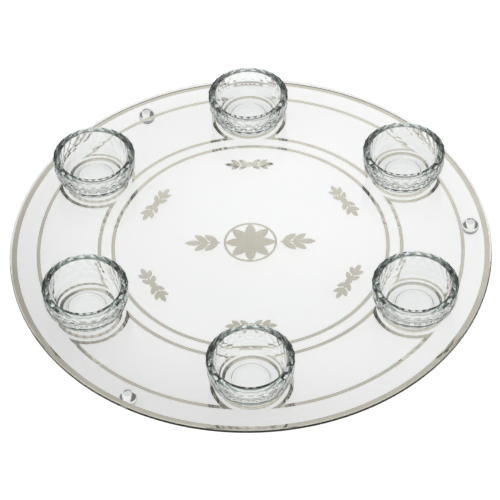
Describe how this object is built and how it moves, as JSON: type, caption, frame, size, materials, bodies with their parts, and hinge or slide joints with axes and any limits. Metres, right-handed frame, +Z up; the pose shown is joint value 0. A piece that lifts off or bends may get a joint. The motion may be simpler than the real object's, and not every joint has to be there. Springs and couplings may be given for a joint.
{
  "type": "seder plate",
  "caption": "Round clear glass plate with a silvered line pattern underneath, on clear ball feet, carrying loose faceted glass bowls for the foods of a seder meal.",
  "frame": {"origin": "on the table, under the middle of the plate", "axes": "+Z up, +X to the right and +Y to the back as the plate is laid"},
  "size_m": [0.3589, 0.359, 0.0394],
  "materials": {
    "plate_glass": "clear float glass, polished, with a green edge",
    "bowl_glass": "clear pressed glass with flat facets",
    "foot_glass": "clear glass ball",
    "silver_mirror": "warm silver mirror coat",
    "clear_adhesive": "clear cured adhesive"
  },
  "bodies": {
    "plate": {"glass_plate": "plate_glass", "rim_band": "silver_mirror", "inner_ring": "silver_mirror", "right_field_outline": "silver_mirror", "back_right_field_outline": "silver_mirror", "back_left_field_outline": "silver_mirror", "left_field_outline": "silver_mirror", "front_left_field_outline": "silver_mirror", "front_right_field_outline": "silver_mirror", "shank_bone_ring": "silver_mirror", "bitter_herb_ring": "silver_mirror", "egg_ring": "silver_mirror", "parsley_ring": "silver_mirror", "lettuce_ring": "silver_mirror", "charoset_ring": "silver_mirror", "centre_rosette": "silver_mirror", "centre_spray_left": "silver_mirror", "centre_spray_right": "silver_mirror", "shank_bone_spray": "silver_mirror", "bitter_herb_spray": "silver_mirror", "egg_spray": "silver_mirror", "parsley_spray": "silver_mirror", "lettuce_spray": "silver_mirror", "charoset_spray": "silver_mirror", "right_foot": "foot_glass", "back_left_foot": "foot_glass", "front_left_foot": "foot_glass", "right_foot_bond": "clear_adhesive", "back_left_foot_bond": "clear_adhesive", "front_left_foot_bond": "clear_adhesive"},
    "shank_bone_bowl": {"shank_bone_bowl": "bowl_glass"},
    "bitter_herb_bowl": {"bitter_herb_bowl": "bowl_glass"},
    "egg_bowl": {"egg_bowl": "bowl_glass"},
    "parsley_bowl": {"parsley_bowl": "bowl_glass"},
    "lettuce_bowl": {"lettuce_bowl": "bowl_glass"},
    "charoset_bowl": {"charoset_bowl": "bowl_glass"}
  },
  "joints": [
    {"name": "shank_bone_bowl_lift", "type": "slide", "parent": "plate", "child": "shank_bone_bowl", "axis": [0, 0, 1], "range_m": [0, 0.06]},
    {"name": "bitter_herb_bowl_lift", "type": "slide", "parent": "plate", "child": "bitter_herb_bowl", "axis": [0, 0, 1], "range_m": [0, 0.06]},
    {"name": "egg_bowl_lift", "type": "slide", "parent": "plate", "child": "egg_bowl", "axis": [0, 0, 1], "range_m": [0, 0.06]},
    {"name": "parsley_bowl_lift", "type": "slide", "parent": "plate", "child": "parsley_bowl", "axis": [0, 0, 1], "range_m": [0, 0.06]},
    {"name": "lettuce_bowl_lift", "type": "slide", "parent": "plate", "child": "lettuce_bowl", "axis": [0, 0, 1], "range_m": [0, 0.06]},
    {"name": "charoset_bowl_lift", "type": "slide", "parent": "plate", "child": "charoset_bowl", "axis": [0, 0, 1], "range_m": [0, 0.06]}
  ]
}
